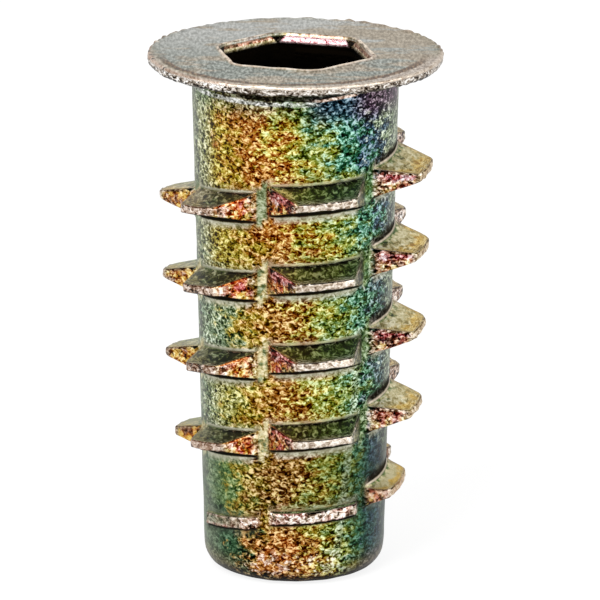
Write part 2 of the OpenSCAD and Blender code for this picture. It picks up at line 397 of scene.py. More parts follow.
class Columns:
    """Meridian columns of one 60 degree sector, each a closed path round the wall's section."""

    def __init__(self, shape, sector):
        self.shape = shape
        self.sector = sector
        self.turn = self.spread(sector)
        self.centre = shape.die_angle + math.radians(BLADE_STEP * (sector - 1))
        self.theta = self.centre + self.turn
        self.points, self.zones, self.marks = [], [], []

    def spread(self, sector):
        """Column angles from the middle of the sector, close together at the blades' end faces.

        lean is the angle that an end face takes up between its foot and the crest.
        """
        shape = self.shape
        half_strip = math.radians(0.7)
        wide, narrow = shape.wide_blade / 2, shape.narrow_blade / 2
        step = math.radians(BLADE_STEP)
        beside_wide = (step + wide - narrow) / 2
        if blade_is_wide(sector):
            foot, edges = wide, (beside_wide, beside_wide)
        elif sector % 3 == 0:
            foot, edges = narrow, (step / 2, step - beside_wide)
        else:
            foot, edges = narrow, (step - beside_wide, step / 2)
        lean = math.radians(17 if foot == wide else 14.8)
        crest = foot - lean
        sides = []
        for edge in edges:
            stops = [0, crest - math.radians(1.8), crest + math.radians(2), foot - math.radians(1.2),
                     foot + math.radians(0.8), edge - half_strip]
            steps = [4, 5, 6, 3, 2]
            sides.append(np.concatenate([np.linspace(a, b, n, endpoint=False)
                                         for a, b, n in zip(stops, stops[1:], steps)] + [[stops[-1]]]))
        return np.concatenate([-sides[0][:0:-1], sides[1]])

    def add(self, zone, corners, rounds, bend_steps, run_steps, marker=None):
        """Adds a stretch of path, for which marker, if any, gives the masks."""
        corners = np.array([[np.broadcast_to(c, self.turn.shape) for c in pair] for pair in corners], float)
        points, places = rounded_path(corners, rounds, bend_steps, run_steps)
        skip = 1 if self.points else 0
        points, places = points[skip:], places[skip:]
        self.points.append(points)
        self.zones.append(np.full(len(points), zone))
        self.marks.append(marker(points, places) if marker else self.masks(points))

    def masks(self, points, **given):
        """Masks at points, of 0 apart from those given by name."""
        masks = np.zeros((len(points), len(MASKS), len(self.turn)))
        for name, values in given.items():
            masks[:, MASKS.index(name)] = values
        return masks

    def build(self):
        """Runs once round the wall: tip, barrel and blades, flange, socket and hole."""
        self.add_tip()
        self.add_thread()
        self.add_flange()
        self.add_socket()
        self.add_hole()
        points = np.concatenate(self.points)[:-1]
        return points, np.concatenate(self.zones)[:-1], np.concatenate(self.marks)[:-1]

    def add_tip(self):
        """Flat end from the hole's bevel out to the rounded edge, and up to just below the thread."""
        shape = self.shape
        side = shape.barrel_tip
        low = 1.4 * shape.tip_round
        corners = [(shape.hole_radius + shape.hole_bevel, 0), (side, 0), (barrel_radius(shape, low), low)]
        self.add(TIP, corners, [1.17 * shape.tip_round], [10], [3, 2])

    def add_thread(self):
        """Barrel with the sector's blades, whose sections follow each other up the column."""
        shape = self.shape
        low = 1.4 * shape.tip_round
        high = HEIGHT - shape.flange_thickness - 1.5 * shape.flange_fillet
        corners = [(barrel_radius(shape, low), low)]
        rounds, bends, runs, sections = [], [], [], []
        previous = low
        for i in range(self.sector, shape.blades, BLADES_PER_TURN):
            section, *shares = blade_corners(shape, i, self.turn)
            gap = np.mean(section[0][1]) - previous
            runs += [max(3, round(gap / (0.34 * MM))), 4, 3, 4]
            rounds += [shape.root_fillet, shape.crest_edge, shape.crest_edge, shape.root_fillet]
            bends += [5, 4, 4, 5]
            corners += [tuple(pair) for pair in section]
            sections.append((section, *shares))
            previous = np.mean(section[3][1])
        runs.append(max(3, round((high - previous) / (0.34 * MM))))
        corners.append((barrel_radius(shape, high), high))
        half = (shape.wide_blade if blade_is_wide(self.sector) else shape.narrow_blade) / 2
        bare = np.clip((np.abs(self.turn) - half) / math.radians(0.8) + 1.5, 0, 1)

        def marker(points, places):
            masks = self.masks(points)
            for blade in sections:
                found = blade_masks(points, *blade, bare)
                masks[:, :BLADE_MASKS] = np.maximum(masks[:, :BLADE_MASKS], found)
            return masks

        self.add(THREAD, corners, rounds, bends, runs, marker)

    def add_flange(self):
        """Fillet, under face, rim and top face as far as the lip round the socket's mouth."""
        shape = self.shape
        seat = HEIGHT - shape.flange_thickness
        start = seat - 1.5 * shape.flange_fillet
        corners = [(barrel_radius(shape, start), start), (barrel_radius(shape, seat), seat),
                   (FLANGE_RADIUS, seat), (FLANGE_RADIUS, HEIGHT), (self.mouth() + shape.lip_width, HEIGHT)]

        def marker(points, places):
            return self.masks(points, worn=near(FLANGE_RADIUS - points[:, 0], 0.15, 0.5))

        self.add(FLANGE, corners, [shape.flange_fillet, shape.rim_under_round, shape.rim_top_round],
                 [4, 4, 4], [1, 5, 2, 12], marker)

    def hexagon(self, flats, corner_reach):
        """Radius of a hexagon at each column, with a corner at every blade's middle."""
        step = math.radians(SOCKET_STEP)
        away = (self.theta - self.shape.die_angle + step / 2) % step - step / 2
        planes = [np.cos(step / 2 - away), np.cos(step / 2 + away)]
        return flats / 2 / soft_max(planes[0], planes[1], corner_reach)

    def mouth(self):
        """Radius of the lead-in's edge on the top face, a hexagon with well rounded corners."""
        shape = self.shape
        mouth = self.hexagon(shape.socket_flats + 2 * shape.lead_in_width, 0.1)
        rounded = shape.socket_flats / 2 / math.cos(math.radians(30)) + shape.lead_in_corner
        return soft_min(mouth, np.full_like(mouth, rounded), 0.03 * MM)

    def add_socket(self):
        """Raised lip, lead-in, six walls and floor of the hex socket."""
        shape = self.shape
        mouth = self.mouth()
        wall = self.hexagon(shape.socket_flats, 0.1)
        crest = HEIGHT + shape.lip_height
        ledge = HEIGHT - shape.lead_in_depth
        floor = HEIGHT - shape.socket_depth
        corners = [(mouth + shape.lip_width, HEIGHT), (mouth, crest), (wall, ledge), (wall, floor),
                   (shape.hole_radius + shape.hole_bevel, floor)]

        def marker(points, places):
            to_lip = np.hypot(points[:, 0] - mouth, points[:, 1] - crest)
            past_lip = np.clip((places - 1.15) * 8, 0, 1)[:, None]
            past_ledge = np.clip((places - 1.95) * 12, 0, 1)[:, None]
            return self.masks(points, worn=near(to_lip, 0.16, 0.26), lead_in=past_lip, inside=past_ledge)

        self.add(SOCKET, corners, [0.1 * MM, 0.08 * MM, 0.12 * MM], [3, 2, 2], [2, 6, 8, 2], marker)

    def add_hole(self):
        """Bevelled hole with the machine thread.

        A groove climbs by pitch (share - 1/2) with its share of the turn, where it meets the groove
        above, and grows over the first and last one and a half turns.
        """
        shape = self.shape
        top = HEIGHT - shape.socket_depth
        entry = shape.hole_radius + shape.hole_bevel
        pitch, depth = shape.machine_pitch, shape.groove_radius - shape.hole_radius
        flank = depth * math.tan(math.radians(30))
        half_root = 0.06 * pitch
        high, low = top - shape.hole_bevel, shape.hole_bevel
        turns = int((high - low) / pitch) - 1
        share_ = (self.theta - shape.die_angle) / (2 * math.pi) + 0.25
        spare = (high - low - turns * pitch) / 2
        corners = [(entry, top), (shape.hole_radius, high)]
        for k in range(turns):
            centre = high - spare - (k + 1 - share_) * pitch
            deep = depth * np.clip(np.minimum(k + 1 - share_, turns - 1 - k + share_) / 1.5, 0, 1)
            bottom = shape.hole_radius + deep
            corners += [(shape.hole_radius, centre + half_root + flank), (bottom, centre + half_root),
                        (bottom, centre - half_root), (shape.hole_radius, centre - half_root - flank)]
        corners += [(shape.hole_radius, low), (entry, 0)]
        inner = len(corners) - 2
        runs = [1] + [1, 2, 1, 2] * turns + [1, 1]

        def marker(points, places):
            return self.masks(points, inside=1)

        self.add(HOLE, corners, [0.04 * MM] * inner, [1] * inner, runs, marker)


def zip_columns(first, second, place_first, place_second):
    """Triangles between two columns of unlike points.

    Each step of a column is joined to the point of the other that stands beside its middle, which
    is the number of the other's steps whose middles come earlier.
    """
    middle_first = (place_first[:-1] + place_first[1:]) / 2
    middle_second = (place_second[:-1] + place_second[1:]) / 2
    beside_second = np.searchsorted(middle_second, middle_first, side="left")
    beside_first = np.searchsorted(middle_first, middle_second, side="right")
    left = np.stack([first[:-1], second[beside_second], first[1:]], 1)
    right = np.stack([second[:-1], second[1:], first[beside_first]], 1)
    return np.concatenate([left, right])


def places_along(points, zones):
    """Place of each point of a column: its zone's number plus its share of the zone's length.

    In the hole the shares are those of its height, so that grooves are joined at their own level.
    """
    moves = np.diff(points, axis=0, append=points[:1])
    steps = np.where(zones == HOLE, np.abs(moves[:, 1]), np.linalg.norm(moves, axis=1))
    places = np.zeros(len(points))
    for zone in np.unique(zones):
        here = zones == zone
        travelled = np.cumsum(steps[here]) - steps[here]
        places[here] = zone + travelled / np.sum(steps[here])
    return places


def casting_mesh(shape):
    """Vertices, quads, triangles and masks of the whole casting.

    A point of a column at turn theta, radius r and height z lies at (r sin theta, -r cos theta, z).
    Each sector is a grid that closes on itself round the wall, and zips join it to the next one.
    """
    vertices, quads, triangles, masks, borders = [], [], [], [], []
    offset = 0
    for sector in range(BLADES_PER_TURN):
        columns = Columns(shape, sector)
        points, zones, marks = columns.build()
        rows, width = len(points), len(columns.turn)
        radius, height = points[:, 0], points[:, 1]
        x, y = radius * np.sin(columns.theta), -radius * np.cos(columns.theta)
        vertices.append(np.stack([x, y, height], -1))
        masks.append(np.moveaxis(marks, 1, -1))
        index = offset + np.arange(rows * width).reshape(rows, width)
        above = np.roll(index, -1, axis=0)
        quads.append(np.stack([index[:, :-1], index[:, 1:], above[:, 1:], above[:, :-1]], -1).reshape(-1, 4))
        for side in (0, -1):
            loop = np.append(index[:, side], index[0, side])
            place = np.append(places_along(points[:, :, side], zones), float(ZONES))
            borders.append((loop, place))
        offset += rows * width
    for sector in range(BLADES_PER_TURN):
        first, place_first = borders[2 * sector + 1]
        second, place_second = borders[(2 * sector + 2) % len(borders)]
        triangles.append(zip_columns(first, second, place_first, place_second))
    return (np.concatenate([v.reshape(-1, 3) for v in vertices]), np.concatenate(quads),
            np.concatenate(triangles), np.concatenate([m.reshape(-1, len(MASKS)) for m in masks]))


def surface_normals(vertices, quads, triangles):
    """Unit normals of the points: each face's area vector is added to its corners."""
    total = np.zeros_like(vertices)
    for faces in (quads, triangles):
        across = vertices[faces[:, 2]] - vertices[faces[:, 0]]
        along = vertices[faces[:, -1]] - vertices[faces[:, 1]]
        area = np.cross(across, along)
        for corner in range(faces.shape[1]):
            for axis in range(3):
                total[:, axis] += np.bincount(faces[:, corner], area[:, axis], len(vertices))
    return total / np.maximum(np.linalg.norm(total, axis=1, keepdims=True), 1e-20)


def rolling_noise(points, wavelength, seed, waves=14):
    """Smooth noise of about -1 to 1: a fifth of the sum of sine waves that run in seeded directions."""
    rng = np.random.default_rng(seed)
    directions = rng.normal(size=(waves, 3))
    directions /= np.linalg.norm(directions, axis=1, keepdims=True)
    numbers = 2 * math.pi / (wavelength * rng.uniform(0.7, 1.5, waves))
    phases = rng.uniform(0, 2 * math.pi, waves)
    heights = np.sin(points @ (directions * numbers[:, None]).T + phases)
    return heights.sum(axis=1) / 5


def make_casting(shape):
    """The casting as a Blender object, with its masks as attributes.

    Each point is lifted along its normal by the sum of slow waves all over the outside, roughness where
    it is worn, and lumps along the rim's upper edge.
    """
    vertices, quads, triangles, masks = casting_mesh(shape)
    normals = surface_normals(vertices, quads, triangles)
    lift = shape.waviness * rolling_noise(vertices, wavelength=1.1 * MM, seed=3)
    radius, height = np.hypot(vertices[:, 0], vertices[:, 1]), vertices[:, 2]
    outside = (radius > shape.barrel_top) | (height < HEIGHT - shape.flange_thickness)
    ragged = masks[:, MASKS.index("worn")] * outside
    lift += shape.raggedness * ragged * rolling_noise(vertices, wavelength=0.45 * MM, seed=8)
    lift[(radius < shape.groove_radius) | (height < 0.05 * MM)] = 0
    edge = near(np.hypot(radius - FLANGE_RADIUS, height - HEIGHT), 0.05, 0.3)
    lumps = rolling_noise(vertices, wavelength=0.6 * MM, seed=5)
    lumps += rolling_noise(vertices, wavelength=2.4 * MM, seed=6) * 0.6
    lift += shape.burr * edge * np.clip(lumps - 0.2, 0, 1)
    vertices = vertices + normals * lift[:, None]
    mesh = bpy.data.meshes.new("insert_casting")
    mesh.vertices.add(len(vertices))
    mesh.vertices.foreach_set("co", vertices.ravel())
    loops = np.concatenate([quads.ravel(), triangles.ravel()])
    sizes = np.concatenate([np.full(len(quads), 4), np.full(len(triangles), 3)])
    mesh.loops.add(len(loops))
    mesh.loops.foreach_set("vertex_index", loops)
    mesh.polygons.add(len(sizes))
    mesh.polygons.foreach_set("loop_start", np.concatenate([[0], np.cumsum(sizes)[:-1]]))
    mesh.update(calc_edges=True)
    mesh.shade_smooth()
    for column, name in enumerate(MASKS):
        attribute = mesh.attributes.new(name, "FLOAT", "POINT")
        attribute.data.foreach_set("value", masks[:, column])
    if mesh.validate():
        raise RuntimeError("the casting's mesh has bad faces")
    piece = bpy.data.objects.new("insert_casting", mesh)
    bpy.context.scene.collection.objects.link(piece)
    return piece


# ---------------------------------------------------------------- shader nodes


def arithmetic(operation, swapped=False):
    """A method that adds a Math node of this operation on a number and another."""
    return lambda self, other: self.graph.math(operation, *((other, self) if swapped else (self, other)))


class Value:
    """A number or colour from a node, on which arithmetic adds Math nodes."""

    def __init__(self, graph, socket):
        self.graph = graph
        self.socket = socket

    __add__ = arithmetic("ADD")
    __radd__ = arithmetic("ADD", swapped=True)
    __sub__ = arithmetic("SUBTRACT")
    __rsub__ = arithmetic("SUBTRACT", swapped=True)
    __mul__ = arithmetic("MULTIPLY")
    __rmul__ = arithmetic("MULTIPLY", swapped=True)
    __truediv__ = arithmetic("DIVIDE")
    __rtruediv__ = arithmetic("DIVIDE", swapped=True)
    at_least = arithmetic("MAXIMUM")

    def math(self, operation, *others):
        """A Math node of this operation on this number and any others."""
        return self.graph.math(operation, self, *others)

    def clamped(self, low=0.0, high=1.0):
        """This number held between two others."""
        return self.graph.node("ShaderNodeClamp", {"Value": self, "Min": low, "Max": high})[0]

    def step(self, low, high):
        """A smooth step from 0 at low to 1 at high."""
        sockets = {0: self, 1: low, 2: high}
        return self.graph.node("ShaderNodeMapRange", sockets, interpolation_type="SMOOTHSTEP")[0]

    def fall(self, low, high):
        """A smooth step from 1 at low to 0 at high."""
        return 1 - self.step(low, high)

    def band(self, start, full, fading, end):
        """0 up to start, 1 from full to fading, and 0 again from end."""
        return self.step(start, full) * self.fall(fading, end)


class Outputs:
    """The outputs of a node, by name or number."""

    def __init__(self, graph, node):
        self.graph = graph
        self.node = node

    def __getitem__(self, key):
        return Value(self.graph, self.node.outputs[key])


class Graph:
    """A node tree, in which colours may be given by their names in a palette."""

    def __init__(self, tree, palette=None):
        self.tree = tree
        self.palette = palette
        tree.nodes.clear()

    def node(self, kind, sockets=None, **settings):
        """Adds a node: its settings are set first, then the values or links of its sockets."""
        node = self.tree.nodes.new(kind)
        for name, setting in settings.items():
            if name == "stops":
                self.set_stops(node.color_ramp.elements, setting)
            else:
                setattr(node, name, setting)
        for key, given in (sockets or {}).items():
            socket = node.inputs[key]
            if isinstance(given, Value):
                self.tree.links.new(given.socket, socket)
            else:
                socket.default_value = given
        return Outputs(self, node)

    def set_stops(self, elements, stops):
        """Gives a colour ramp its stops, as pairs of position and colour."""
        while len(elements) < len(stops):
            elements.new(1.0)
        for element, (position, colour_) in zip(elements, stops):
            element.position = position
            element.color = self.rgba(colour_)

    def math(self, operation, *operands):
        """A Math node of this operation on the operands."""
        return self.node("ShaderNodeMath", dict(enumerate(operands)), operation=operation)[0]

    def noise(self, vector, scale, detail=2.0, roughness=0.5, distortion=0.0):
        """Noise of 0 to 1, with a mean of about 0.5."""
        sockets = {"Vector": vector, "Scale": scale, "Detail": detail, "Roughness": roughness,
                   "Distortion": distortion}
        return self.node("ShaderNodeTexNoise", sockets)["Fac"]

    def ramp(self, place, *stops):
        """A colour ramp over a number, from stops of position and colour."""
        return self.node("ShaderNodeValToRGB", {"Fac": place}, stops=stops)["Color"]

    def rgba(self, given):
        """A colour for a socket, from a link, a name in the palette, or red, green and blue."""
        if isinstance(given, Value):
            return given
        return (*(getattr(self.palette, given) if isinstance(given, str) else given), 1)

    def mix(self, factor, low, high, blend="MIX"):
        """Colours mixed by a factor."""
        sockets = {0: factor, 6: self.rgba(low), 7: self.rgba(high)}
        return self.node("ShaderNodeMix", sockets, data_type="RGBA", blend_type=blend, clamp_factor=True)[2]

    def over(self, base, *layers):
        """Colours laid over a base one after another, from layers of amount and colour."""
        for amount, colour_ in layers:
            base = self.mix(amount, base, colour_)
        return base

    def scaled(self, vector, x, y, z):
        """A vector with each part multiplied by its own factor."""
        return self.node("ShaderNodeVectorMath", {0: vector, 1: (x, y, z)}, operation="MULTIPLY")[0]

    def attribute(self, name):
        """A float attribute of the piece."""
        return self.node("ShaderNodeAttribute", attribute_name=name)["Fac"]


# ---------------------------------------------------------------- chromate coat


class Coat(Graph):
    """Die-cast zinc with an iridescent chromate coat, worn pale on its edges.

    x, y and z are in millimetres, up is the height above the top face, and around is the angle about the
    axis in degrees. Every method gives a colour or a number, made of bands over those, of the masks and
    of noise.
    """

    def __init__(self, tree, finish):
        super().__init__(tree, palette=finish)
        self.finish = finish
        self.millimetres = self.scaled(self.node("ShaderNodeTexCoord")["Object"], *[1 / MM] * 3)
        parts = self.node("ShaderNodeSeparateXYZ", {0: self.millimetres})
        self.x, self.y, self.z = (parts[axis] for axis in "XYZ")
        self.up = self.z - TOP
        self.around = self.x.math("ARCTAN2", self.y * -1) / math.radians(1)
        self.to_axis = (self.x * self.x + self.y * self.y).math("SQRT")
        self.masks = {name: self.attribute(name) for name in MASKS}
        self.blotch = self.noise(self.millimetres, 1.9, 3, 0.65)
        self.dents = self.stretched_noise((1, 1, 1.6), 2.4, 2, 0.6)
        self.streak = self.stretched_noise((0.5, 0.5, 5), 1.0, 2)
        self.grain = self.cast_grain()
        self.level = ((self.grain - 0.5) * 7 + (self.blotch - 0.5) * 2).clamped(-1, 1)
        self.set_regions()

    def stretched_noise(self, factors, *settings):
        """Noise whose place is multiplied by a factor along each axis."""
        return self.noise(self.scaled(self.millimetres, *factors), *settings)

    def cast_grain(self):
        """Fine grain, drawn out from front to back on the top face and the blades' upper flanks."""
        on_plate = self.up.step(-0.15, -0.05)
        spread = self.over(
            self.scaled(self.millimetres, 1, 1, 1.4),
            (on_plate, self.scaled(self.millimetres, 1.7, 0.5, 1)),
            (self.masks["upper"], self.scaled(self.millimetres, 1, 0.5, 1)),
        )
        return self.noise(spread, self.finish.grains_per_mm, 2.5, 0.6, 0.8 - on_plate * 0.7)

    def set_regions(self):
        """Numbers of 0 to 1 that say where on the casting a point lies.

        facing is the squared cosine of the angle to the front or the back, moved about by noise. The
        limb and the side are where it is low; the limb gets a painted reflection. hollow is the strip
        above a blade that gets painted shade. The shadow under the flange and the ring at its lower edge
        rise by 0.006 mm a degree from 13 to 80 degrees.
        """
        around, z, up, masks = self.around, self.z, self.up, self.masks
        across = ((around + (self.blotch - 0.5) * 40) * math.radians(1)).math("COSINE")
        self.facing = across * across
        self.limb = self.facing.fall(0.04, 0.24)
        self.side = self.facing.fall(0.35, 0.5)
        self.front = around.band(-130, -90, 90, 130)
        self.on_right = around.step(0, 20)
        self.near_left = around.band(-130, -90, -30, -20)
        self.far_right = around.band(52, 70, 90, 130)
        self.mouth_back = (around.fall(-168, -165) + around.step(132, 135)).clamped()
        self.hollow = masks["hollow"].step(0.3, 0.95)
        self.gap = masks["gap"] * (0.9 - self.on_right * 0.4) * z.step(4, 5)
        self.faint = z.fall(4, 5)
        self.rim = up.band(-0.75, -0.65, -0.15, -0.05) * masks["worn"]
        self.rear = up.step(-0.2, -0.1) * self.y.step(-1, 2)
        self.worn = masks["worn"] * (1 - self.rear * self.to_axis.fall(6.86, 6.94) * 0.85)
        self.plate = up.step(-0.12, -0.04) * (1 - masks["lead_in"]) * (1 - masks["inside"])
        levelled = up - (around.clamped(13, 80) - 13) * 0.006
        self.under_flange = levelled.step(-1.25, -1.17) * up.fall(-0.65, -0.51)
        self.under_flange = self.under_flange * (0.3 + around.step(-45, -25) * 0.65)
        self.ring = levelled.band(-1.29, -1.23, -1.15, -1.09) * around.band(4, 16, 78, 90)

    def barrel(self):
        """Bands of colour that follow each other round the barrel and repeat at the back.

        The copper band lies at -5 degrees up to 10 mm, and at -5 - 0.1 u - 0.1 u^2 when u mm above that,
        and it is wide at the tip. Noise and the grain shift the bands, and each row between the blades
        has its own colour on the left. A pale line climbs on the right of the tip, at 26 + 1.4 z degrees,
        and under the flange's left side lies a blue-green strip.
        """
        around, z, front = self.around, self.z, self.front
        above = (z - 10).at_least(0.0)
        slow = (self.noise(self.millimetres, 0.42, 3) - 0.5) * 20
        quick = (self.stretched_noise((1, 1, 1.7), 1.2, 3, 0.65) - 0.5) * 90
        turned = around + 5 + above * 0.1 + above * above * 0.1 + slow + quick + self.level * 7
        widen = z.fall(2, 3.5) * front * 9
        left = (turned - widen * 0.9).fall(-42, -26) * front
        held_back = z.band(18.8, 19.2, 19.8, 21) * 16 + z.band(15, 15.6, 18.4, 19) * 9
        turned = turned - held_back * around.step(0, 12) * front
        turned = turned - turned.clamped(widen * -1, widen)
        bands = [(-90, "mint"), (-62, "mint"), (-50, "moss"), (-40, "leaf"), (-26, "gold"), (-6, "copper"),
                 (4, "copper"), (13, "gold"), (26, "leaf"), (38, "moss"), (49, "teal"), (57, "teal"),
                 (66, "petrol"), (76, "petrol"), (90, "mint")]
        rows = [(0, "pine"), (3.4, "pine"), (3.9, "olive"), (7.0, "olive"), (7.8, "straw"),
                (10.9, "straw"), (11.7, "mint"), (14.8, "mint"), (15.5, "gold"), (TOP, "gold")]
        place = (turned / 180 + 0.5).math("FRACT")
        round_barrel = self.ramp(place, *[(at / 180 + 0.5, colour_) for at, colour_ in bands])
        up_barrel = self.ramp(z / TOP, *[(at / TOP, colour_) for at, colour_ in rows])
        line = (around - z * 1.4 - 26).math("ABSOLUTE").fall(1, 4) * z.band(1, 2, 11, 12)
        return self.over(
            round_barrel,
            (left * (0.95 - z.step(3, 5) * 0.1), up_barrel),
            (z.fall(16, 18) * (1 - left) * 0.15, "moss"),
            (around.fall(-64, -48) * front * 0.6, "mint"),
            (z.fall(7, 9) * around.step(42, 56) * front * 0.6, "petrol"),
            (z.step(22.8, 23.9) * around.fall(-5, 20) * front * 0.6, "teal"),
            (line * 0.5, "mint"),
        )

    def shaded_barrel(self):
        """The barrel with a streaked painted reflection at its sides, painted shade above the blades, and
        dark at its foot.

        Under the flange at the right it turns dark blue and then violet.
        """
        around, z = self.around, self.z
        # Painted reflection of the pale surroundings at the barrel's limbs
        limb_sheen = self.mix(around.fall(-10, 10) * 0.25, "silver", "shade")
        lined = around.band(-100, -90, -48, -34) * z.band(3.6, 4, 16, 17)
        dusk = z.fall(3, 9) * (0.38 - self.facing.step(0.6, 0.95) * 0.17)
        dusk = dusk + z.band(3.4, 3.8, 6.8, 7.8) * (0.05 + around.step(-40, -20) * 0.25)
        top_right = z.step(22.4, 23.6) * around.band(0, 16, 76, 90)
        return self.over(
            self.barrel(),
            (self.limb * (0.3 + z.step(2.5, 5) * 0.5), limb_sheen),
            (self.limb * self.streak.step(0.54, 0.62) * 0.4, "mint"),
            (lined * self.streak.fall(0.4, 0.5) * 0.4, "pine"),
            (dusk, "soot"),
            (top_right * 0.95, self.mix(around.step(28, 48), "petrol", "plum")),
            (top_right * 0.2, "soot"),
            # Painted shade on the barrel just above the blades
            (self.hollow * self.side * (0.3 + self.on_right * 0.65), "soot"),
        )

    def feet(self, colour_):
        """Adds painted highlights along the blades' feet, dimmer and pitted where the strip above a blade is
        unlit, and the gaps between the blades of a row.
        """
        hollow, on_right = self.hollow, self.on_right
        unlit = 1 - self.side.at_least(self.around.fall(-30, -18))
        # Painted highlights along the blades' feet
        amount = self.masks["foot"] * (0.95 - hollow * unlit * 0.4) * (0.2 + self.z.step(3.5, 4.5) * 0.8)
        pitted = hollow * unlit * self.dents.step(0.5, 0.58) * 0.6
        foot = self.over("pale", (pitted, "umber"), (hollow * self.side * on_right, "crest"))
        olive_patches = self.blotch.step(0.36, 0.5) * self.z.fall(16, 17)
        gap = self.over("mint", (olive_patches, "khaki"), (on_right * 0.8, "moss"))
        return self.over(colour_, (amount, foot), (self.gap, gap))

    def upper_flank(self):
        """Painted reflection: dark green and black on the front and back blades, mirroring the barrel and
        flange above, olive with golden edges on the side ones, mirroring the pale surroundings, and
        bands of painted shade left of the front.
        """
        around, z = self.around, self.z
        reach = self.masks["reach"]
        on_left = 1 - self.on_right
        out = reach + (self.blotch - 0.5) * 1.2
        side_flank = self.ramp(out, (0.0, "moss"), (0.2, "khaki"), (0.5, "khaki"), (0.8, "brass"))
        # Painted reflection on the flanks: dark green and black to the front and back, olive and gold at the
        # sides
        front_flank = self.mix((reach * (1 - reach) * 4).step(0.2, 0.9), "soot", "shade")
        left_flank = self.mix(z.step(17, 18) * 0.6, "shade", "umber")
        return self.over(
            side_flank,
            (on_left * 0.3 + around.step(88, 92) * 0.5, "umber"),
            (around.fall(-115, -98) * 0.6, "moss"),
            (on_left * z.fall(17, 18) * 0.3, "moss"),
            (around.step(-66, -60) * on_left * 0.5, left_flank),
            (reach.step(0.92, 0.98) * 0.8, self.mix(0.5, "garnet", "umber")),
            (self.facing.step(0.36, 0.6), front_flank),
            # Painted shade on the flanks, dark red and then black, left of the front
            (around.band(-46, -38, -21, -19) * 0.65, "garnet"),
            (around.band(-19, -17, -9, 3) * 0.65, "soot"),
        )

    def end_face(self):
        """Pink and dark red above, and orange below.

        The face's inner upper corner is rounded off by half of (1 - reach / 0.3)^2, and above that it has
        painted shade. The left blades' faces are pale far out, and the front blades' left ones have
        painted shade there.
        The others are mottled dark green and pale at the root, the front blades' right ones are green,
        and those far round the side are brown on the left and grey on the right.
        """
        around = self.around
        reach, tall = self.masks["reach"], self.masks["tall"]
        patch = self.noise(self.millimetres, 2.2, 3, 0.6)
        spots = self.noise(self.millimetres, 3.6, 2, 0.6)
        past_left, past_gap = around.step(-19, -18), around.step(9, 10)
        past_front, past_side = around.step(44, 45), around.step(88, 92)
        far = around.fall(-66, -62) + past_side
        front_left = past_left * (1 - past_gap)
        front_right = past_gap * (1 - past_front)
        low = self.ramp(patch, (0.38, "rose"), (0.43, "ember"), (0.5, "ember"), (0.57, "brass"))
        high = self.ramp(patch, (0.38, "wine"), (0.44, "rose"), (0.5, "wine"), (0.55, "rose"),
                         (0.61, "blush"))
        brown = self.ramp(patch, (0.4, "umber"), (0.47, "copper"), (0.56, "brass"))
        grey = self.ramp(patch, (0.42, "umber"), (0.52, "crest"))
        pink = (tall + (patch - 0.5) * 1.5).step(0.4, 0.7) * (0.5 + self.z.step(8, 11) * 0.5)
        root = reach.fall(0.05, 0.35) * (1 - front_left * 0.9)
        dark_spots = (spots - (past_left * 0.05 - 0.02)).fall(0.36, 0.46)
        inner = (1 - reach / 0.3).clamped()
        top = 1 - inner * inner * 0.5 - tall
        edge = self.over("ember", (past_left, "rose"), (front_right, "pale"), (past_front, "umber"),
                         (far, "umber"))
        return self.over(
            low,
            (past_front * 0.35, "sand"),
            (pink * (0.3 + past_left * 0.7), high),
            (reach.step(0.55, 0.85) * (1 - past_left) * 0.7, "crest"),
            # Painted shade on the front blades' left faces far out
            (reach.step(0.48, 0.78) * front_left * 0.75, "garnet"),
            (root * 0.55, self.mix(spots.step(0.52, 0.58), "shade", "pale")),
            (far * 0.85, self.mix(past_side, brown, grey)),
            (front_right * 0.9, "shade"),
            (dark_spots * 0.85, "garnet"),
            (top.fall(0.1, 0.22) * reach.step(0.1, 0.5), edge),
            # Painted shade above the face's rounded upper corner
            (top.fall(0.0, 0.05), "soot"),
        )

    def bare_metal(self):
        """Worn crests, faint ridges and rim, with painted shade along a crest's edges and on the rim."""
        around, z, tall = self.around, self.z, self.masks["tall"]
        near_left, far_right, faint = self.near_left, self.far_right, self.faint
        on_thread = z.fall(23, 23.5)
        lines = (tall.fall(0.02, 0.12) + tall.step(0.84, 0.94)) * self.dents.step(0.38, 0.44)
        return self.over(
            "crest",
            (self.dents.step(0.56, 0.62) * 0.45, "umber"),
            # Painted shade along a crest's edges and on the rim, darkest at the rim's lower edge
            (lines * on_thread, "soot"),
            (self.rim * (0.4 + self.up.fall(-0.45, -0.28) * 0.53), "soot"),
            (self.rear * 0.8, "umber"),
            ((near_left + far_right) * on_thread * z.step(2, 5) * 0.4, "umber"),
            (far_right * on_thread * 0.3, "brass"),
            (near_left * (1 - self.rim) * 0.14, "ember"),
            (near_left * self.dents.fall(0.36, 0.42) * 0.8, "soot"),
            (faint * self.blotch.step(0.44, 0.6) * 0.3, "rose"),
            (faint * tall.band(0.1, 0.3, 0.7, 0.9) * around.fall(-52, -32) * 0.75, "shade"),
        )

    def top_face(self):
        """Grey, paler at the back, with beige clouds and, in front, a brown line and a pale edge."""
        y = self.y
        cloud = self.stretched_noise((0.35, 0.8, 1), 1.0, 4, 0.6)
        edge = self.to_axis + self.around.step(0, 60) * 0.25 + (self.blotch - 0.5) * 0.3
        before = y.fall(-2.5, 0) * 0.95
        return self.over(
            "steel",
            (y.step(-4, 5), "bright"),
            ((cloud + self.x * 0.015).step(0.44, 0.56), "sand"),
            (self.to_axis.step(5.9, 6.7) * y.fall(-4, 0) * 0.6, "sand"),
            (edge.step(6.5, 6.62) * before, "crest"),
            ((edge - 6.45).math("ABSOLUTE").fall(0.1, 0.28) * before, "umber"),
        )

    def lip(self):
        """Painted highlight along the edge of the socket's mouth, chipped at its left and right."""
        chipped = (self.around.fall(-70, -46) + self.around.step(60, 72)) * self.dents.step(0.48, 0.56)
        return self.mix(chipped * 0.8, "gleam", "umber")

